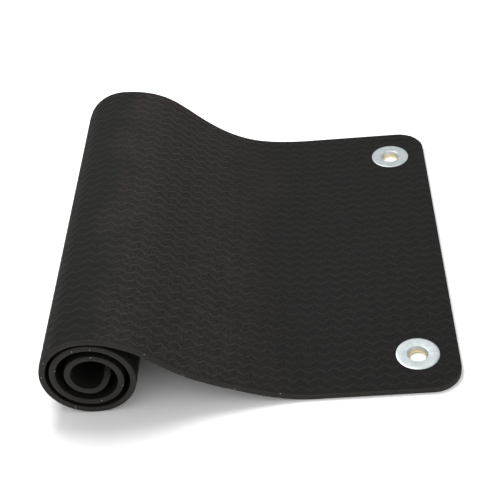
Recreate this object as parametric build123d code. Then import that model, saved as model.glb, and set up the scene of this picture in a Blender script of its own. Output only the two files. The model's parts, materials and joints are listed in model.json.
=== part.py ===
"""A roll-up exercise mat: one foam sheet with a metal eyelet near each corner of its free end.

The sheet is a chain of straight lengths joined at its bends, from the free edge inwards. Where it
flexes, a bend is a hinge at mid-thickness: in the flap at the free end, which can be lifted, and round
the outermost turn of the roll, which can be rolled out. Between those, it is one solid.
"""
from build123d import *
import math
import os

# --- Driving dimensions, millimetres and degrees ---
mat_width = 600.0
mat_thickness = 9.5
corner_radius = 42.0
flat_length = 222.0  # free edge to the first bend of the rise, all of it on the floor

first_flap_hinge = 97.0  # from the free edge, clear of the eyelets
flap_hinge_pitch = 30.0
flap_hinges = 4
flap_turn = 15.0  # how far each flap hinge lifts the free end

rise_angle = 41.0  # steepest slope of the sheet between the floor and the roll
rise_bends = 4
rise_radius = 285.0
crown_bends = 3
crown_radius = 130.0

bends_per_turn = 16
roll_turns = 2.75
hinged_turns = 1.0  # how much of the roll, from its top, can be rolled out
# bend radius of the sheet's middle, after so many turns from the top of the roll
roll_radii = ((0.25, 64.0), (0.75, 58.0), (1.5, 46.0), (2.5, 25.5), (2.75, 25.0))

hinge_gap = 0.15  # each length stops this far short of its hinge line

eyelet_from_end = 57.0
eyelet_from_side = 65.5
eyelet_hole_radius = 11.0
flange_radius = 30.25
barrel_wall = 1.2
flange_thickness = 1.1
flange_proud = 0.5  # height of the flange above the foam
flange_bevel = 2.0
mouth_radius = 3.6  # rolled lip that leads into the eyelet's hole
washer_thickness = 1.0
curl_height = 0.8  # barrel's end, rolled out over the washer
curl_reach = 3.0
foam_clearance = 0.3

half = mat_thickness / 2


def tangent_length(bend):
    """Length from a bend's corner to where its arc meets the straight sheet."""
    turn, radius = bend
    return radius * math.tan(math.radians(abs(turn)) / 2)


def roll_radius(turns):
    """Bend radius after a number of turns, read off the straight lines between the given radii."""
    if turns <= roll_radii[0][0]:
        return roll_radii[0][1]
    for (t0, r0), (t1, r1) in zip(roll_radii, roll_radii[1:]):
        if turns <= t1:
            return r0 + (r1 - r0) * (turns - t0) / (t1 - t0)
    return roll_radii[-1][1]


# Every bend is (turn, radius), from the free end inwards. A positive turn lifts the sheet, as the
# rise off the floor does, and a negative one winds it down and under, as the crown and roll do.
rise = [(rise_angle / rise_bends, rise_radius)] * rise_bends
crown = [(-rise_angle / crown_bends, crown_radius)] * crown_bends
roll_turn = 360 / bends_per_turn
roll = [
    (-roll_turn, roll_radius((k + 0.5) / bends_per_turn))
    for k in range(round(roll_turns * bends_per_turn))
]
curved = rise + crown + roll

# The flap's hinges are straight at rest.
flap = [(0.0, 0.0)] * flap_hinges
flap_lengths = [first_flap_hinge] + [flap_hinge_pitch] * (flap_hinges - 1)
bends = flap + curved

reach = [tangent_length(bend) for bend in curved]
lengths = flap_lengths + [flat_length - sum(flap_lengths)]
lengths += [a + b for a, b in zip(reach, reach[1:])] + [2 * reach[-1]]

slopes = [0.0]  # upward slope of each length, going inwards
for turn, _ in bends:
    slopes.append(slopes[-1] + turn)


def height_gained(first, last):
    """Height that the lengths from first to last climb, going inwards."""
    return sum(lengths[n] * math.sin(math.radians(slopes[n])) for n in range(first, last + 1))


# The roll stands on the floor, so the sheet has to climb as far as the roll then winds down to its
# lowest length. The straight stretch between the rise and the crown is as long as that needs.
top_length = flap_hinges + rise_bends + crown_bends
bottom_length = top_length + bends_per_turn // 2
missing = -height_gained(0, bottom_length)
lengths[flap_hinges + rise_bends] += missing / math.sin(math.radians(rise_angle))

total_length = sum(lengths)

# Corners of the middle line in the rolled mat, with the free edge at x = 0 for now
corners = [(0.0, half)]
for length, slope in zip(lengths, slopes):
    x, z = corners[-1]
    angle = math.radians(slope)
    corners.append((x - length * math.cos(angle), z + length * math.sin(angle)))

# The corners that are hinges, each with the turn that closes it
first_roll_hinge = top_length + 1
last_roll_hinge = first_roll_hinge + round(hinged_turns * bends_per_turn) - 1
hinge_turns = {n: flap_turn for n in range(1, flap_hinges + 1)}
hinge_turns |= {n: bends[n - 1][0] for n in range(first_roll_hinge, last_roll_hinge + 1)}


def on_length(n, from_corner, height):
    """A point beside length n: so far inwards from its first corner, and so high above its middle."""
    x, z = corners[n]
    angle = math.radians(slopes[n])
    return (
        x - from_corner * math.cos(angle) + height * math.sin(angle),
        z + from_corner * math.sin(angle) + height * math.cos(angle),
    )


def cut_back(corner):
    """How far a solid stops short of a corner, at its underside, middle and top."""
    if corner in hinge_turns:
        turn = hinge_turns[corner]
        shut = half * math.tan(math.radians(abs(turn)) / 2)
        return hinge_gap + (shut if turn < 0 else 0), hinge_gap, hinge_gap + (shut if turn > 0 else 0)
    if corner in (0, len(lengths)):
        return 0.0, 0.0, 0.0
    mitre = half * math.tan(math.radians(bends[corner - 1][0]) / 2)
    return -mitre, 0.0, mitre


def side_view(first, last):
    """Outline in X and Z of the sheet between two corners."""
    levels = (-half, 0.0, half)
    outer_end = [on_length(first, d, z) for d, z in zip(cut_back(first), levels)]
    inner_end = [on_length(last - 1, lengths[last - 1] - d, z) for d, z in zip(cut_back(last), levels)]
    between = range(first + 1, last)
    top = [on_length(n, cut_back(n)[2], half) for n in between]
    underside = [on_length(n, cut_back(n)[0], -half) for n in between]
    return outer_end + top + inner_end[::-1] + underside[::-1]


# The origin is on the floor under the middle of the whole rolled mat.
leftmost = min(x for n in range(len(lengths)) for x, _ in side_view(n, n + 1))
centre_shift = -leftmost / 2


def make_sheet(first, last):
    """The foam between two corners, as wide as the mat."""
    points = [Vector(x + centre_shift, -mat_width / 2, z) for x, z in side_view(first, last)]
    section = Face(Wire.make_polygon(points, close=True))
    return Solid.extrude(section, Vector(0, mat_width, 0))


# --- Eyelets: a flanged barrel pressed in from above, curled out over a washer underneath ---
barrel_radius = eyelet_hole_radius + barrel_wall
flange_top = half + flange_proud
flange_under = flange_top - flange_thickness
washer_under = -half + curl_height
washer_top = washer_under + washer_thickness
bore_top = flange_top - mouth_radius
bore_bottom = -half + curl_height


def turned(profile):
    """A closed outline in the X-Z plane turned once round the Z axis."""
    return revolve(make_face(profile), axis=Axis.Z)


def make_grommet():
    mouth_edge = eyelet_hole_radius + mouth_radius
    curl_edge = eyelet_hole_radius + curl_height
    mouth_mid, curl_mid = mouth_radius * math.sqrt(0.5), curl_height * math.sqrt(0.5)
    mouth = ThreePointArc(
        (eyelet_hole_radius, 0, bore_top),
        (mouth_edge - mouth_mid, 0, bore_top + mouth_mid),
        (mouth_edge, 0, flange_top),
    )
    flange = Polyline(
        (mouth_edge, 0, flange_top),
        (flange_radius - flange_bevel, 0, flange_top),
        (flange_radius, 0, half),
        (flange_radius, 0, flange_under),
        (barrel_radius, 0, flange_under),
        (barrel_radius, 0, washer_under),
        (barrel_radius + curl_reach, 0, washer_under),
        (barrel_radius + curl_reach, 0, -half),
        (curl_edge, 0, -half),
    )
    curl = ThreePointArc(
        (curl_edge, 0, -half),
        (curl_edge - curl_mid, 0, bore_bottom - curl_mid),
        (eyelet_hole_radius, 0, bore_bottom),
    )
    bore = Line((eyelet_hole_radius, 0, bore_bottom), (eyelet_hole_radius, 0, bore_top))
    return turned(mouth + flange + curl + bore)


def make_washer():
    ring = Circle(flange_radius) - Circle(barrel_radius + foam_clearance / 2)
    return Location((0, 0, washer_under)) * extrude(ring, amount=washer_thickness)


def make_pocket():
    """What the pressed-in eyelet takes out of the foam."""
    seat_radius = flange_radius + foam_clearance
    hole = Cylinder(barrel_radius + foam_clearance, 2 * mat_thickness)
    upper = Location((0, 0, flange_under)) * extrude(Circle(seat_radius), amount=mat_thickness)
    lower = Location((0, 0, washer_top)) * extrude(Circle(seat_radius), amount=-mat_thickness)
    return hole + upper + lower


eyelet_y = mat_width / 2 - eyelet_from_side
eyelets = {"near": -eyelet_y, "far": eyelet_y}

# --- Write one file for each sub-part ---
os.makedirs("parts", exist_ok=True)

breaks = [0] + sorted(hinge_turns) + [len(lengths)]
spans = list(zip(breaks, breaks[1:]))
names = ["free_end"] + [f"flap_{k}" for k in range(1, flap_hinges)] + ["rise"]
names += [f"outer_turn_{k:02d}" for k in range(1, last_roll_hinge - first_roll_hinge + 1)] + ["core"]

for name, (first, last) in zip(names, spans):
    foam = make_sheet(first, last)
    if name == "free_end":
        outline = RectangleRounded(2 * first_flap_hinge, mat_width, corner_radius)
        foam &= Location((centre_shift - first_flap_hinge, 0, 0)) * extrude(outline, amount=mat_thickness)
        for y in eyelets.values():
            foam -= Location((centre_shift - eyelet_from_end, y, half)) * make_pocket()
    export_step(foam, f"parts/{name}.step")

for side, y in eyelets.items():
    seat = Location((centre_shift - eyelet_from_end, y, half))
    export_step(seat * make_grommet(), f"parts/grommet_{side}.step")
    export_step(seat * make_washer(), f"parts/washer_{side}.step")

print(f"sheet {total_length:.2f} long, {len(spans)} solids, free edge at x {centre_shift:.3f}")
for n, turn in sorted(hinge_turns.items()):
    x, z = corners[n]
    print(f"hinge {n:02d} x {x + centre_shift:.4f} z {z:.4f} turn {turn:.6f}")
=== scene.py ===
# %% [markdown]
# # A roll-up exercise mat
#
# The real thing is one sheet of charcoal foam, 600 mm wide, 1.34 m long and 9.5 mm thick, with two
# plated eyelets in its free end. Its upper face is embossed with zigzag ribs. It lies half unrolled:
# the free end is flat on the floor, and the sheet then rises in an S and winds down into a roll.
#
# The imported CAD model is the frame: it says where every hinge of the sheet is, and the free end, the
# rise, the core and the eyelets made here ride on its bodies.

# %% Load the frame
import json
import math

import bmesh
import bpy
import numpy as np
from mathutils import Matrix, Vector


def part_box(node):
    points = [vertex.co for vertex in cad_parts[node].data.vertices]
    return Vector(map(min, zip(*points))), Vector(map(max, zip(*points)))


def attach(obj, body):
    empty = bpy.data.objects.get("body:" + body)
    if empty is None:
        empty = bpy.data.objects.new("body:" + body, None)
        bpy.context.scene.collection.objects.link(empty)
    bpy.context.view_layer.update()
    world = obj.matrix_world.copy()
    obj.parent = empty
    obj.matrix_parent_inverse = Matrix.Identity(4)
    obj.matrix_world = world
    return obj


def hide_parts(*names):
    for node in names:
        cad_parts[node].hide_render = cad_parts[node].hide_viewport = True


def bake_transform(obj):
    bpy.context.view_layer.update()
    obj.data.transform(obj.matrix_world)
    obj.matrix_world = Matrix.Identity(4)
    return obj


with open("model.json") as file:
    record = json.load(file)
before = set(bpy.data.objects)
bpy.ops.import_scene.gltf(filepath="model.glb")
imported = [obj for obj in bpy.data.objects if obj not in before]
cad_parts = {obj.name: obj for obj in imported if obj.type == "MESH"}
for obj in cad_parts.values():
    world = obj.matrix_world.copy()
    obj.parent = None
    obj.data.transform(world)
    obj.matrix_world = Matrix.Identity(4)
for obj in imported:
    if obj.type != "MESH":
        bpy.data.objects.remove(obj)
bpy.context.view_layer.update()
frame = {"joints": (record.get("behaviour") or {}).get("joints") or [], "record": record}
record = frame["record"]
joints = {joint["name"]: joint for joint in frame["joints"]}

# %% [markdown]
# ## The line that the sheet follows
#
# Seen from the side, the sheet is a line with thickness. It could be drawn as a free curve, but a
# sheet keeps its length when it bends, and everything on it (ribs, corners, eyelets) is set out flat.
# So the line is a list of stretches, each with a length and a turn, and a place on the mat is its
# distance from the free edge along that line, wherever the sheet is bent.

# %% Driving sizes of the sheet, in metres and degrees
mm = 0.001
free_low, free_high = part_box("free_end")
width = free_high.y - free_low.y
thickness = free_high.z - free_low.z
half = thickness / 2
corner_radius = 42 * mm

flat_length = 222 * mm
rise_angle, rise_bends, rise_radius = 41, 4, 285 * mm
crown_bends, crown_radius = 3, 130 * mm
bends_per_turn, roll_turns = 16, 2.75
roll_radii = ((0.25, 64 * mm), (0.75, 58 * mm), (1.5, 46 * mm), (2.5, 25.5 * mm), (2.75, 25 * mm))

rise = [(rise_angle / rise_bends, rise_radius)] * rise_bends
crown = [(-rise_angle / crown_bends, crown_radius)] * crown_bends
turns_done = (np.arange(round(roll_turns * bends_per_turn)) + 0.5) / bends_per_turn
radii = np.interp(turns_done, *zip(*roll_radii))
roll = [(-360 / bends_per_turn, radius) for radius in radii]


def tangent_length(turn, radius):
    return radius * math.tan(math.radians(abs(turn)) / 2)


def arc(turn, radius):
    """A stretch as (length, turn in radians)."""
    return radius * math.radians(abs(turn)), math.radians(turn)


# %% The straight part of the rise is as long as the height of the first roll hinge needs
crest_height = joints["unroll"]["pos_m"][2] - half
slope, climbed = 0.0, 0.0
for (turn, radius), (next_turn, next_radius) in zip(rise + crown, rise[1:] + crown + roll[:1]):
    slope += turn
    between = tangent_length(turn, radius) + tangent_length(next_turn, next_radius)
    climbed += between * math.sin(math.radians(slope))
straight_rise = (crest_height - climbed) / math.sin(math.radians(rise_angle))
stretches = [(flat_length - tangent_length(*rise[0]), 0.0)]
stretches += [arc(*bend) for bend in rise] + [(straight_rise, 0.0)]
stretches += [arc(*bend) for bend in crown + roll] + [(tangent_length(*roll[-1]), 0.0)]

lengths = np.array([length for length, _ in stretches])
bends = np.array([turn for _, turn in stretches])
starts = np.concatenate([[0], np.cumsum(lengths)])
slopes = np.concatenate([[0], np.cumsum(bends)])
curvatures = bends / lengths
total_length = starts[-1]
print(f"the line is {total_length / mm:.0f} mm long in {len(stretches)} stretches")


# %% [markdown]
# Along one stretch the slope changes evenly, so the place at any distance has a closed form: a
# straight step where the curvature is nothing, and a piece of a circle elsewhere. One helper walks
# the line once for the start of every stretch, and another answers for whole arrays of distances.

# %% Walk along the line
def step(start, slope, curvature, distance):
    """Place and slope after a distance along one stretch; the sheet runs towards -X."""
    bent = slope + curvature * distance
    even = np.abs(curvature) < 1e-9
    k = np.where(even, 1.0, curvature)
    x = np.where(even, -np.cos(slope) * distance, -(np.sin(bent) - np.sin(slope)) / k)
    z = np.where(even, np.sin(slope) * distance, -(np.cos(bent) - np.cos(slope)) / k)
    return start[..., 0] + x, start[..., 1] + z, bent


corners = [np.array([free_high.x, half])]
for slope, curvature, length in zip(slopes, curvatures, lengths):
    x, z, _ = step(corners[-1], slope, curvature, length)
    corners.append(np.array([x, z]))
corners = np.array(corners)


def on_line(distance):
    """X, Z and slope of the sheet's middle at distances from the free edge."""
    n = np.clip(np.searchsorted(starts, distance, side="right") - 1, 0, len(stretches) - 1)
    return step(corners[n], slopes[n], curvatures[n], distance - starts[n])


first_roll = 2 + rise_bends + crown_bends
for name, n in (("unroll", first_roll), ("turn_bend_16", first_roll + bends_per_turn - 1)):
    x, z, _ = on_line(np.array(starts[n] + lengths[n] / 2))
    hinge = joints[name]["pos_m"]
    print(f"{name}: the line passes {math.hypot(x - hinge[0], z - hinge[2]) / mm:.2f} mm from the hinge")


# %% [markdown]
# ## The embossed face
#
# The foam is embossed while it is still soft: thin ribs stand on a flat ground, 16.5 mm apart, and
# each one zigzags every 23 mm as it runs along the mat. At each corner of the zigzag the rib dips, so
# it reads as a row of slanting dashes. This could be a bump in the material, but the crests catch the
# light and break the outline of the roll, so they are real relief here. Written as a height over
# (distance, across), the pattern follows the sheet into the roll.

# %% The height of the relief
rib_pitch, zigzag_period, zigzag_width = 16.5 * mm, 23 * mm, 8.2 * mm
rib_width, corner_dip = 6.0 * mm, 0.5
face_relief, back_relief = 0.9 * mm, 0.25 * mm
print(f"{width / rib_pitch:.0f} ribs across, {total_length / zigzag_period:.0f} zigzags along")


def smooth(t):
    """0 below 0, 1 above 1, and an S between."""
    t = np.clip(t, 0, 1)
    return t * t * (3 - 2 * t)


def rib(distance, across):
    """1 on the crest of a rib and 0 on the ground between two."""
    zigzag = np.abs(2 * np.mod(distance / zigzag_period, 1) - 1)
    aside = np.mod((across + zigzag_width * (zigzag - 0.5)) / rib_pitch, 1) - 0.5
    from_corner = np.minimum(zigzag, 1 - zigzag)
    crest = corner_dip + (1 - corner_dip) * smooth(5 * from_corner)
    return crest * smooth(1 - np.abs(aside) * 2 * rib_pitch / rib_width)


# %% [markdown]
# ## From flat to rolled
#
# Each foam piece is made flat, where it is only a slab, and then every point of it is carried to the
# rolled sheet: its distance picks the place on the line, and its height goes along the line's normal.
# On the way the cut edges are rounded over. That could be a Bevel, but the trimmed corners leave
# slivers that a bevel trips on, and the outline is known exactly, so each point is simply moved
# inwards as far as the round edge asks for at its height.

# %% The outline of the flat mat, and its softened edge
cut_softness = 0.9 * mm
half_length = total_length / 2
print(f"outline {total_length / mm:.0f} x {width / mm:.0f} mm, corners {corner_radius / mm:.0f} mm")


def inside_outline(distance, across):
    """Depth inside the mat's rounded outline, and the inward direction as two parts."""
    along = np.abs(distance - half_length) - (half_length - corner_radius)
    aside = np.abs(across) - (width / 2 - corner_radius)
    out_along, out_aside = np.maximum(along, 0), np.maximum(aside, 0)
    reach = np.hypot(out_along, out_aside)
    depth = corner_radius - np.where(reach > 0, reach, np.maximum(along, aside))
    reach = np.maximum(reach, 1e-9)
    to_along = -np.sign(distance - half_length) * out_along / reach
    to_across = -np.sign(across) * out_aside / reach
    return depth, to_along, to_across


def soften(distance, across, height):
    """Moves points near the outline inwards, so that the edge is round instead of square."""
    below_face = np.clip(half - np.abs(height), 0, cut_softness)
    wanted = cut_softness - np.sqrt(cut_softness**2 - (cut_softness - below_face) ** 2)
    depth, to_along, to_across = inside_outline(distance, across)
    push = np.maximum(wanted - depth, 0)
    return distance + push * to_along, across + push * to_across


# %% [markdown]
# The real sheet never lies quite true. Where it climbs to the roll, the far side stands a little
# steeper than the near side: lower at the foot and higher at the shoulder. One slow wave, nothing at
# both ends of the climb, gives that twist without disturbing the flat part or the roll.

# %% Carry points of the flat slab to the rolled sheet
climb_start, climb_end = 205 * mm, starts[first_roll]
twist_height = 5.5 * mm
relief_skin = 1.4 * mm  # how deep under a face the relief dies away
normal_step = 0.4 * mm
print(f"the climb runs from {climb_start / mm:.0f} to {climb_end / mm:.0f} mm along the sheet")


def twist(distance, across):
    """How far the sheet stands above its even line; the far side is at +Y."""
    t = np.clip((distance - climb_start) / (climb_end - climb_start), 0, 1)
    return -twist_height * np.sin(2 * np.pi * t) * np.sin(np.pi * t) * across / (width / 2)


def carry(distance, across, height):
    """Places in the rolled mat of points given by distance, y and height above the middle."""
    x, z, slope = on_line(distance)
    face = smooth((height - half) / relief_skin + 1)
    back = smooth((-height - half) / relief_skin + 1)
    groove = 1 - rib(distance, across)
    height = height + groove * (back * back_relief - face * face_relief)
    z = z + height * np.cos(slope) + twist(distance, across)
    return np.stack([x + height * np.sin(slope), across, z], -1)


def shade_normals(distance, across, height):
    """Outward normals of the carried faces, from short steps along and across them."""
    step_in, step_out = distance + normal_step, distance - normal_step
    along = carry(step_out, across, height) - carry(step_in, across, height)
    aside = carry(distance, across + normal_step, height) - carry(distance, across - normal_step, height)
    normal = np.cross(along, aside) * np.sign(height)[:, None]
    return normal / np.linalg.norm(normal, axis=1)[:, None]


# %% [markdown]
# ## One slab of foam
#
# A grid gives the quads that the relief needs, planes trim its round corners as a knife would, and
# Solidify gives it its thickness. Four level cuts near its faces then leave points for the round
# edge. Only the ends of the mat have corners, so the slabs between them stay plain.

# %% Flat slabs
rib_column = rib_pitch / 9
fine_row, core_row = zigzag_period / 10, zigzag_period / 8
corner_cuts = 16
edge_levels = (0.12, 0.5)  # depths of the level cuts, as parts of the softened edge
print(f"faces {fine_row / mm:.1f} x {rib_column / mm:.1f} mm, {core_row / mm:.1f} mm long in the core")


def bisect(bm, point, normal, trim=False):
    """Cuts a slab with a plane, and with trim takes away what the normal points to."""
    bmesh.ops.bisect_plane(bm, geom=bm.verts[:] + bm.edges[:] + bm.faces[:], dist=1e-7,
                           plane_co=point, plane_no=normal, clear_outer=trim)


def trim_corners(bm, end, outward):
    """Rounds the two corners at one end of the mat; outward is 1 at the free end, -1 at the other."""
    for side in (-1, 1):
        centre = Vector((-end - outward * corner_radius, side * (width / 2 - corner_radius), 0))
        for k in range(corner_cuts):
            angle = math.radians(90) * (k + 0.5) / corner_cuts
            normal = Vector((outward * math.cos(angle), side * math.sin(angle), 0))
            bisect(bm, centre + normal * corner_radius, normal, trim=True)


def flat_slab(first, last, row):
    """A closed slab of foam from one distance to another, lying flat along -X."""
    bm = bmesh.new()
    rows, columns = round((last - first) / row), round(width / rib_column * fine_row / row)
    bmesh.ops.create_grid(bm, x_segments=rows, y_segments=columns, size=0.5)
    bmesh.ops.scale(bm, vec=(last - first, width, 1), verts=bm.verts)
    bmesh.ops.translate(bm, vec=(-(first + last) / 2, 0, 0), verts=bm.verts)
    if first == 0:
        trim_corners(bm, 0, 1)
    if last == total_length:
        trim_corners(bm, total_length, -1)
    bmesh.ops.solidify(bm, geom=bm.faces[:], thickness=thickness)
    lowest = min(vert.co.z for vert in bm.verts)
    bmesh.ops.translate(bm, vec=(0, 0, -half - lowest), verts=bm.verts)
    for depth in edge_levels:
        for side in (-1, 1):
            level = side * (half - depth * cut_softness)
            bisect(bm, (0, 0, level), (0, 0, 1))
    bmesh.ops.recalc_face_normals(bm, faces=bm.faces)
    return bm


# %% [markdown]
# The eyelets are pressed into the free end. Their hole and the two shallow seats, for the flange
# above and the washer below, are cut with a Boolean: a bmesh has no operator that subtracts one
# solid from another, and the cutter is a plain spool spun from nine points.

# %% Seats for the eyelets
# Radii, and heights above the middle of the foam, from the hole outwards
eyelet_radius, flange_radius, washer_radius = 11 * mm, 30.25 * mm, 30.25 * mm
barrel_radius = eyelet_radius + 1.2 * mm
flange_top, flange_under = half + 0.5 * mm, half - 0.6 * mm
washer_under, washer_top = -half + 0.8 * mm, -half + 1.8 * mm
mouth_radius, throat_height = 14.75 * mm, flange_top - 5.8 * mm
shoulder_radius, neck_height = 15.7 * mm, flange_top - 6.9 * mm
foam_clearance = 0.3 * mm
seat_steps, metal_steps = 96, 128
eyelets = {}
for mount in record["mounts"]:
    if mount["kind"] == "bore":
        side = mount["name"].split("_")[1]
        eyelets[side] = (mount["pos_m"][0], mount["pos_m"][1])
for side, (x, y) in eyelets.items():
    print(f"{side} eyelet at x {x / mm:.1f}, y {y / mm:.1f} mm")


def spin_profile(points, steps):
    """A bmesh turned once round Z from (radius, height) points, closed into a ring or on the axis."""
    bm = bmesh.new()
    verts = [bm.verts.new((radius, 0, height)) for radius, height in points]
    edges = [bm.edges.new(pair) for pair in zip(verts, verts[1:])]
    if points[0][0] > 0:
        edges.append(bm.edges.new((verts[-1], verts[0])))
    bmesh.ops.spin(bm, geom=verts + edges, cent=(0, 0, 0), axis=(0, 0, 1), angle=math.tau,
                   steps=steps, use_merge=True)
    bmesh.ops.remove_doubles(bm, verts=bm.verts, dist=1e-6)
    bmesh.ops.recalc_face_normals(bm, faces=bm.faces)
    return bm


def new_object(name, bm, *materials):
    """Turns a bmesh into an object with these materials, and links it to the scene."""
    mesh = bpy.data.meshes.new(name)
    bm.to_mesh(mesh)
    bm.free()
    for material in materials:
        mesh.materials.append(material)
    made = bpy.data.objects.new(name, mesh)
    bpy.context.scene.collection.objects.link(made)
    return made


def cut_seats(bm):
    """Takes the eyelets' holes and seats out of the flat free end."""
    seat, hole = flange_radius + foam_clearance, barrel_radius + foam_clearance
    spool = [(0, -thickness), (seat, -thickness), (seat, washer_top), (hole, washer_top),
             (hole, neck_height), (shoulder_radius + foam_clearance, flange_under),
             (seat, flange_under), (seat, thickness), (0, thickness)]
    slab = new_object("flat_slab", bm)
    cutters = []
    for x, y in eyelets.values():
        cut = spin_profile(spool, seat_steps)
        bmesh.ops.translate(cut, vec=(x - free_high.x, y, 0), verts=cut.verts)
        cutter = new_object("cutter", cut)
        boolean = slab.modifiers.new("seat", "BOOLEAN")
        boolean.operation = "DIFFERENCE"
        boolean.solver = "EXACT"
        boolean.object = cutter
        cutters.append(cutter)
    bpy.context.view_layer.update()
    done = bmesh.new()
    done.from_object(slab, bpy.context.evaluated_depsgraph_get())
    for leftover in cutters + [slab]:
        bpy.data.objects.remove(leftover)
    return done


# %% [markdown]
# The slab then becomes a piece. Its flat places are kept as a UV map in metres, so that the foam's
# grain follows the surface, and a "relief" attribute tells the material crest from groove. Where one
# slab ends and the next carries on, the end face stays sharp; the rest is smooth.

# %% From a flat slab to a finished piece
on_plane = 0.01 * mm


def is_seam(face, first, last):
    """Whether a face of a flat slab is where the next slab carries on."""
    middle = -face.calc_center_median().x
    at_first = first > 0 and abs(middle - first) < on_plane
    at_last = last < total_length and abs(middle - last) < on_plane
    return abs(face.normal.z) < 0.5 and (at_first or at_last)


def read(items, field, kind, width=1):
    """One field of many mesh elements as an array."""
    values = np.zeros(len(items) * width, kind)
    items.foreach_get(field, values)
    return values.reshape(-1, width) if width > 1 else values


def mark_faces(bm, first, last):
    """Smooths all but the seams, and gives the cut sides the second material."""
    for face in bm.faces:
        seam = is_seam(face, first, last)
        face.smooth = not seam
        face.material_index = 0 if abs(face.normal.z) > 0.5 else 1
        if seam:
            for edge in face.edges:
                edge.smooth = False


# %% [markdown]
# The order matters in the next cell. The map and the relief are read off the flat slab, then the
# points move, and the shading normals go on last, because moving points would clear them. A normal of
# zero leaves a corner to Blender, which is right on the cut sides.

# %% Build, map, carry and shade one piece
def foam_piece(name, first, last, row, seats=False):
    bm = flat_slab(first, last, row)
    if seats:
        bm = cut_seats(bm)
    mark_faces(bm, first, last)
    piece = new_object(name, bm, foam, cut_foam)
    mesh = piece.data

    flat = read(mesh.vertices, "co", float, 3)
    distance, across, height = -flat[:, 0], flat[:, 1], flat[:, 2]
    distance, across = soften(distance, across, height)
    corner = read(mesh.loops, "vertex_index", int)
    on_side = np.repeat(read(mesh.polygons, "material_index", int) == 1,
                        read(mesh.polygons, "loop_total", int))

    # The sides take their height as the second coordinate, moved clear of the face's own
    second = np.where(on_side, height[corner] - width, across[corner])
    sheet_map = mesh.uv_layers.new(name="sheet")
    sheet_map.data.foreach_set("uv", np.stack([distance[corner], second], -1).ravel())
    relief = mesh.attributes.new("relief", "FLOAT", "POINT")
    relief.data.foreach_set("value", rib(distance, across))

    mesh.vertices.foreach_set("co", carry(distance, across, height).ravel())
    normals = shade_normals(distance, across, height)[corner]
    normals[on_side] = 0
    mesh.update()
    mesh.normals_split_custom_set(normals)
    return piece


# %% [markdown]
# ## Materials
#
# A class around a socket lets the shader maths be written as Python expressions, and one method
# makes any other node.

# %% A small language for shader nodes
class Socket:
    """One output of a node, with arithmetic that adds Math nodes."""

    def __init__(self, tree, socket):
        self.tree, self.socket = tree, socket

    def math(self, operation, other, swap=False, clamp=False):
        node = self.tree.nodes.new("ShaderNodeMath")
        node.operation = operation
        node.use_clamp = clamp
        values = [other, self] if swap else [self, other]
        for slot, value in zip(node.inputs, values):
            plug(self.tree, slot, value)
        return Socket(self.tree, node.outputs[0])

    def __add__(self, other):
        return self.math("ADD", other)

    def __sub__(self, other):
        return self.math("SUBTRACT", other)

    def __rsub__(self, other):
        return self.math("SUBTRACT", other, swap=True)

    def __mul__(self, other):
        return self.math("MULTIPLY", other)

    __radd__, __rmul__ = __add__, __mul__


def plug(tree, slot, value):
    """Sets a socket to a number, or links it to another node's output."""
    if isinstance(value, Socket):
        tree.links.new(value.socket, slot)
    else:
        slot.default_value = value


def set_stops(ramp, stops):
    while len(ramp.elements) < len(stops):
        ramp.elements.new(0.5)
    for element, (position, colour) in zip(ramp.elements, stops):
        element.position = position
        element.color = (*colour, 1)


# %% [markdown]
# A few of the sockets on a Mix node share one name, so those are reached by number: `i6` and `i7` are
# the two colours that it mixes.

# %% A material that makes its own nodes
class Material:
    """A procedural material: its nodes, and the principled shader that they feed."""

    def __init__(self, name, **constants):
        self.material = bpy.data.materials.new(name)
        self.material.use_nodes = True
        self.tree = self.material.node_tree
        self.shader = self.tree.nodes["Principled BSDF"]
        for field, value in constants.items():
            self.shader.inputs[field.replace("_", " ")].default_value = value

    def node(self, kind, settings=(), output=0, **inputs):
        """Adds a node; a setting is an attribute, and an input is named with _ for a space."""
        node = self.tree.nodes.new("ShaderNode" + kind)
        for field, value in dict(settings).items():
            if field == "stops":
                set_stops(node.color_ramp, value)
            else:
                setattr(node, field, value)
        for field, value in inputs.items():
            numbered = field[0] == "i" and field[1:].isdigit()
            plug(self.tree, node.inputs[int(field[1:]) if numbered else field.replace("_", " ")], value)
        return Socket(self.tree, node.outputs[output])

    def mix(self, factor, low, high):
        """A colour between two, each a colour or an output."""
        low, high = (c if isinstance(c, Socket) else (*c, 1) for c in (low, high))
        return self.node("Mix", {"data_type": "RGBA"}, output=2, Factor=factor, i6=low, i7=high)

    def feed(self, **inputs):
        """Links outputs to the principled shader."""
        for field, value in inputs.items():
            plug(self.tree, self.shader.inputs[field.replace("_", " ")], value)


def srgb(red, green, blue):
    """A screen colour of 0 to 255 as the linear values that a shader takes."""
    return tuple(((channel / 255 + 0.055) / 1.055) ** 2.4 for channel in (red, green, blue))
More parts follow.
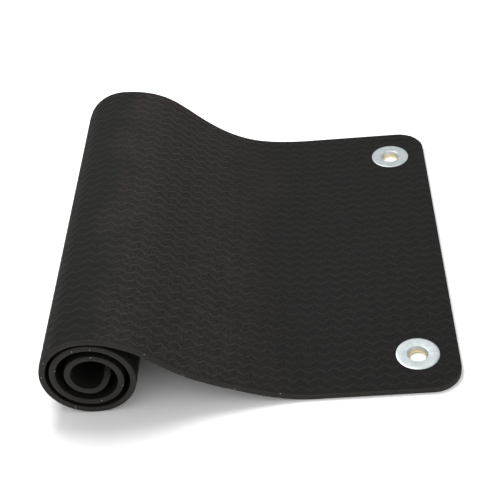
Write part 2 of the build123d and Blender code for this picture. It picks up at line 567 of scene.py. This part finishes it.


# %% [markdown]
# ## Foam
#
# Closed-cell foam with a skin: the face is charcoal and matt, and the crests of the ribs are painted
# paler than the ground between them, a painted highlight. Along the mat the black drifts from neutral,
# through a warm brown-black where it climbs, which is also painted paler there as painted light, to a
# greenish one on the roll. A fine grain of burst cells breaks it up close to.

# %% Foam face
foam_build = Material("charcoal_foam", Specular_IOR_Level=0.07)
place = foam_build.node("UVMap", {"uv_map": "sheet"})
along_mat = foam_build.node("SeparateXYZ", Vector=place)
crest = foam_build.node("Attribute", {"attribute_name": "relief"}, output=2)
drift = foam_build.node("TexNoise", Vector=place, Scale=9.0, Detail=3.0, Roughness=0.55)
smudge = foam_build.node("TexNoise", Vector=place, Scale=60.0, Detail=4.0, Roughness=0.6)
pits = foam_build.node("TexNoise", Vector=place, Scale=320.0, Detail=2.0, Roughness=0.5)
grain = foam_build.node("TexNoise", Vector=place, Scale=800.0, Detail=5.0, Roughness=0.7)
cells = foam_build.node("TexVoronoi", {"feature": "F1"}, Vector=place, Scale=1100.0)
# The warm stop is paler than the neutral one: painted light on the climb, as well as a warmer black.
neutral, warm_painted_light, green = srgb(31, 30.5, 29.5), srgb(43.5, 39, 37.5), srgb(27, 29.5, 26)
black = foam_build.node(
    "ValToRGB", {"stops": [(0.24, neutral), (0.36, warm_painted_light), (0.48, warm_painted_light), (0.53, green)]},
    Fac=along_mat + 0.14 * (drift - 0.5))
# The crest term paints the ribs' crests paler than the ground between them: a painted highlight.
tone = 0.44 + 0.55 * crest + 0.9 * (smudge - 0.5) + 2.2 * (pits - 0.5) + (grain - 0.5)
face_colour = foam_build.mix(tone, srgb(20, 19, 19), black)
foam_bump = foam_build.node("Bump", Strength=0.7, Distance=0.5 * mm,
                            Height=0.5 * grain + 0.2 * cells + 0.6 * pits)
foam_dullness = 0.78 - 0.22 * crest + 0.2 * (smudge - 0.5)
foam_build.feed(Base_Color=face_colour, Roughness=foam_dullness, Normal=foam_bump)
foam = foam_build.material
print("foam face:", len(foam_build.tree.nodes), "nodes")

# %% [markdown]
# The cut edge has no skin. It is a shade lighter, dull and open-celled, with pale specks painted on it
# as glints of light, and the blade leaves faint lines along the cut.

# %% Cut edge
cut_build = Material("cut_foam", Specular_IOR_Level=0.2)
cut_place = cut_build.node("UVMap", {"uv_map": "sheet"})
pores = cut_build.node("TexVoronoi", {"feature": "F1"}, Vector=cut_place, Scale=1400.0)
torn = cut_build.node("TexNoise", Vector=cut_place, Scale=260.0, Detail=5.0, Roughness=0.65)
patches = cut_build.node("TexNoise", Vector=cut_place, Scale=30.0, Detail=2.0)
along_blade = cut_build.node("Mapping", Vector=cut_place, Scale=(25, 2600, 1))
blade = cut_build.node("TexNoise", Vector=along_blade, Scale=1.0, Detail=2.0)
tone = 0.35 + 0.6 * torn + 0.35 * patches - 0.25 * pores
cut_black, cut_grey = srgb(27, 26, 24), srgb(47, 45, 42)
cut_colour = cut_build.node("ValToRGB", {"stops": [(0.35, cut_black), (0.85, cut_grey)]}, Fac=tone)
# Pale specks on the cut edge: painted glints of light.
glint_cells = cut_build.node("TexVoronoi", {"feature": "F1"}, Vector=cut_place, Scale=110.0)
glint_speck = (0.085 - glint_cells).math("MULTIPLY", 60.0, clamp=True)
glint_speckled = cut_build.mix(0.8 * glint_speck, cut_colour, srgb(196, 184, 172))
cut_bump = cut_build.node("Bump", Strength=0.6, Distance=0.4 * mm,
                          Height=0.5 * torn - 0.35 * pores + 0.15 * blade)
cut_build.feed(Base_Color=glint_speckled, Roughness=0.88 + 0.1 * (torn - 0.5), Normal=cut_bump)
cut_foam = cut_build.material
print("cut edge:", len(cut_build.tree.nodes), "nodes")

# %% [markdown]
# ## Zinc-plated steel
#
# The eyelets are pressed steel with a bright zinc plating: bluish white, satin from the tumbling
# barrel. A "funnel" attribute on the mesh says where the yellowish cast of the drawn funnel goes, so
# that the washer under the mat stays white. Fine scratches run across the metal.

# %% Plating
plate_build = Material("zinc_plating", Metallic=0.85, Specular_IOR_Level=0.5)
spot = plate_build.node("TexCoord", output=3)
cloud = plate_build.node("TexNoise", Vector=spot, Scale=160.0, Detail=4.0, Roughness=0.6)
frost = plate_build.node("TexNoise", Vector=spot, Scale=1500.0, Detail=3.0)
scratch_place = plate_build.node("Mapping", Vector=spot, Rotation=(0, 0, 0.6), Scale=(90, 2400, 90))
scratches = plate_build.node("TexNoise", Vector=scratch_place, Scale=1.0, Detail=3.0, Roughness=0.7)
bluish, whitish = srgb(165, 174, 177), srgb(186, 191, 190)
plate_tint = plate_build.node("ValToRGB", {"stops": [(0.3, bluish), (0.7, whitish)]}, Fac=cloud)
funnel = plate_build.node("Attribute", {"attribute_name": "funnel"}, output=2)
plated = plate_build.mix(0.6 * funnel, plate_tint, srgb(226, 204, 150))
plate_bump = plate_build.node("Bump", Strength=0.12, Distance=0.1 * mm,
                              Height=0.6 * scratches + 0.4 * frost)
plate_polish = 0.3 + 0.22 * cloud + 0.12 * scratches
plate_build.feed(Base_Color=plated, Roughness=plate_polish, Normal=plate_bump)
plating = plate_build.material
print("plating:", len(plate_build.tree.nodes), "nodes")

# %% [markdown]
# ## The foam pieces
#
# The free end is one piece that holds the eyelets. Four slabs lie over the flap's hinges, one long piece
# climbs to the roll, sixteen slabs are the outermost turn, and the core is the rest. The slabs over the
# hinges are made where they lie, attached to no body, and each hides the CAD part that it stands for.

# %% Names, places and bodies of the slabs
first_flap_hinge, flap_hinge_pitch = 97 * mm, 30 * mm
flap_hinges = [first_flap_hinge + k * flap_hinge_pitch for k in range(4)]
flap_bodies = ["free_end", "flap_1", "flap_2", "flap_3", "rise"]
flap_ends = [88 * mm, 112 * mm, 142 * mm, 172 * mm, climb_start]
turn_bodies = ["rise"] + [f"outer_turn_{k:02d}" for k in range(1, bends_per_turn)] + ["core"]
turn_ends = starts[first_roll:first_roll + bends_per_turn + 1]


def point(distance):
    """The middle of the sheet at a distance, as a point."""
    x, z, _ = on_line(np.array(distance))
    return float(x), 0.0, float(z)


foam_pieces = []
for name, body, first, last, row in (
    ("free_end_foam", "free_end", 0, flap_ends[0], fine_row),
    ("rise_foam", "rise", climb_start, climb_end, fine_row),
    ("core_foam", "core", turn_ends[-1], total_length, core_row),
):
    piece = foam_piece(name, first, last, row, seats=body == "free_end")
    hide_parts(body)
    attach(piece, body)
    foam_pieces.append(piece)
    print(f"{name}: {len(piece.data.polygons)} faces")

# %% The slabs over the hinges
def bending_foam(name, first, last, replaced, start, end):
    """A slab made and baked where it lies; start and end only go to point(), whose answers are not used.
    """
    slab = foam_piece(name, first, last, fine_row)
    point(start)
    point(end)
    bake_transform(slab)
    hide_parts(replaced)
    foam_pieces.append(slab)


for k, hinge in enumerate(flap_hinges):
    first, last = flap_ends[k:k + 2]
    outer, inner = flap_bodies[k:k + 2]
    reach = min(hinge - first, last - hinge)
    replaced = inner if inner != "rise" else outer
    bending_foam(f"flap_bend_foam_{k + 1}", first, last, replaced,
                 hinge - reach, hinge + reach)

for k in range(bends_per_turn):
    first, last = turn_ends[k:k + 2]
    outer, inner = turn_bodies[k:k + 2]
    replaced = inner if inner != "core" else outer
    bending_foam(f"outer_turn_foam_{k + 1:02d}", first, last, replaced, first, last)
print(len(foam_pieces), "foam pieces,", sum(len(piece.data.polygons) for piece in foam_pieces), "faces")

# %% [markdown]
# ## Eyelets
#
# Each eyelet is a flanged barrel, pressed in from above and curled out over a washer underneath.
# Both are turned shapes, so a profile spun once round gives them. The corners of the profile start
# sharp and are rounded by bevels afterwards, each with its own radius: the throat's is the largest.

# %% Turned metal
crease = math.radians(35)
tint_top, tint_fade = half - 2 * mm, 3 * mm


def round_rings(bm, rings, offset, segments):
    """Bevels the rings of edges at the given (radius, height) places."""
    edges = []
    for edge in bm.edges:
        ends = [(math.hypot(vert.co.x, vert.co.y), vert.co.z) for vert in edge.verts]
        if any(all(math.dist(end, ring) < on_plane for end in ends) for ring in rings):
            edges.append(edge)
    bmesh.ops.bevel(bm, geom=edges, offset=offset, offset_type="OFFSET", segments=segments,
                    profile=0.5, affect="EDGES", material=-1)


def turned_piece(name, profile, roundings, seat, node):
    """A plated ring, spun from its profile, rounded, and put in place of a CAD node."""
    bm = spin_profile(profile, metal_steps)
    for rings, offset, segments in roundings:
        round_rings(bm, rings, offset, segments)
    for face in bm.faces:
        face.smooth = True
    for edge in bm.edges:
        if len(edge.link_faces) == 2 and edge.calc_face_angle() > crease:
            edge.smooth = False
    bmesh.ops.translate(bm, vec=(seat[0], seat[1], half), verts=bm.verts)
    piece = new_object(name, bm, plating)
    spots = read(piece.data.vertices, "co", float, 3) - (seat[0], seat[1], half)
    in_bore = np.hypot(spots[:, 0], spots[:, 1]) < mouth_radius
    funnel = piece.data.attributes.new("funnel", "FLOAT", "POINT")
    funnel.data.foreach_set("value", np.clip((tint_top - spots[:, 2]) / tint_fade, 0, 1) * in_bore)
    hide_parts(node)
    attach(piece, "free_end")
    print(f"{name}: {len(piece.data.polygons)} faces")


# %% [markdown]
# The profile goes once round the section of the eyelet, from the throat up over the flange, down its
# outside and back under the washer. Each rounding is a list of corners, a radius and its segments.

# %% The two profiles
flange_slope, curl_reach = 2 * mm, 3 * mm
mouth, lip = (mouth_radius, flange_top), (flange_radius - flange_slope, flange_top)
rim, curl = (flange_radius, half), (barrel_radius + curl_reach, -half)
throat, foot = (eyelet_radius, throat_height), (eyelet_radius, -half)
flange_back, shoulder = (flange_radius, flange_under), (shoulder_radius, flange_under)
neck, barrel_end = (barrel_radius, neck_height), (barrel_radius, washer_under)
grommet_profile = [throat, mouth, lip, rim, flange_back, shoulder, neck, barrel_end,
                   (curl[0], washer_under), curl, foot]
grommet_roundings = [([throat], 2.2 * mm, 6), ([mouth], 0.9 * mm, 4), ([lip], 0.8 * mm, 4),
                     ([rim], 0.25 * mm, 3), ([curl], 0.4 * mm, 3), ([foot], 0.7 * mm, 4)]
inside = barrel_radius + foam_clearance / 2
washer_profile = [(inside, washer_under), (washer_radius, washer_under), (washer_radius, washer_top),
                  (inside, washer_top)]
washer_roundings = [([washer_profile[1]], 0.3 * mm, 3)]
for side, seat in eyelets.items():
    turned_piece(f"eyelet_{side}", grommet_profile, grommet_roundings, seat, f"grommet_{side}")
    turned_piece(f"eyelet_washer_{side}", washer_profile, washer_roundings, seat, f"washer_{side}")

# %% [markdown]
# ## Studio
#
# A pale floor, an even light tent and two soft lights give the broad, low contrast that lets black
# foam show its relief. The key light hangs close above the roll, so the roll is a little brighter than
# the flat end. The floor lies a hair below the mat, so that the two faces don't fight.

# %% Floor
floor_reach, floor_gap = 6, 0.2 * mm
floor_build = Material("pale_floor", Roughness=0.9, Specular_IOR_Level=0.1)
floor_place = floor_build.node("TexCoord", output=3)
paper = floor_build.node("TexNoise", Vector=floor_place, Scale=400.0, Detail=3.0)
floor_build.feed(Base_Color=floor_build.node(
    "ValToRGB", {"stops": [(0.3, (0.93, 0.93, 0.93)), (0.7, (0.95, 0.95, 0.95))]}, Fac=paper))
bm = bmesh.new()
bmesh.ops.create_grid(bm, x_segments=1, y_segments=1, size=floor_reach)
bmesh.ops.translate(bm, vec=(0, 0, -floor_gap), verts=bm.verts)
new_object("floor", bm, floor_build.material)
print(f"floor {2 * floor_reach} m square")


# %% Lights
def soft_light(name, place, aim, size, power):
    """A round area light of a size in metres and a power in watts, turned to its aim."""
    data = bpy.data.lights.new(name, "AREA")
    data.shape, data.size, data.energy = "DISK", size, power
    light = bpy.data.objects.new(name, data)
    light.location = place
    light.rotation_euler = (Vector(aim) - Vector(place)).to_track_quat("-Z", "Y").to_euler()
    bpy.context.scene.collection.objects.link(light)
    print(f"{name} light: {power} W")


soft_light("key", (-0.32, 0.35, 1.35), (-0.15, 0, 0.1), 0.8, 20)
soft_light("fill", (1.4, -1.6, 1.7), (0.1, 0, 0), 2.0, 8)
world = bpy.data.worlds.new("light_tent")
world.use_nodes = True
tent = world.node_tree.nodes["Background"]
tent.inputs["Color"].default_value = (1, 1, 1, 1)
tent.inputs["Strength"].default_value = 0.85
bpy.context.scene.world = world
bpy.context.scene.view_settings.view_transform = "Standard"

# %% [markdown]
# ## Camera
#
# The camera stands in front of the near side, looks down by 40 degrees and is tilted by 7. Its three
# axes are worked out from those angles, in radians, and become the columns of its matrix.

# %% Camera
azimuth, look_down, tilt = -0.0903, 0.6915, -0.1242
camera_place = Vector((0.1166, -1.3731, 1.1613))
ahead = Vector((math.sin(azimuth) * math.cos(look_down), math.cos(azimuth) * math.cos(look_down),
                -math.sin(look_down)))
level_right = Vector((math.cos(azimuth), -math.sin(azimuth), 0))
level_up = level_right.cross(ahead)
right = level_right * math.cos(tilt) + level_up * math.sin(tilt)
up = level_up * math.cos(tilt) - level_right * math.sin(tilt)
lens_data = bpy.data.cameras.new("camera")
lens_data.sensor_width, lens_data.lens = 36, 83.6
camera = bpy.data.objects.new("camera", lens_data)
axes = Matrix((right, up, -ahead)).transposed().to_4x4()
camera.matrix_world = Matrix.Translation(camera_place) @ axes
bpy.context.scene.collection.objects.link(camera)
bpy.context.scene.camera = camera
print(f"camera {camera_place.length:.2f} m from the mat, {lens_data.lens} mm lens")
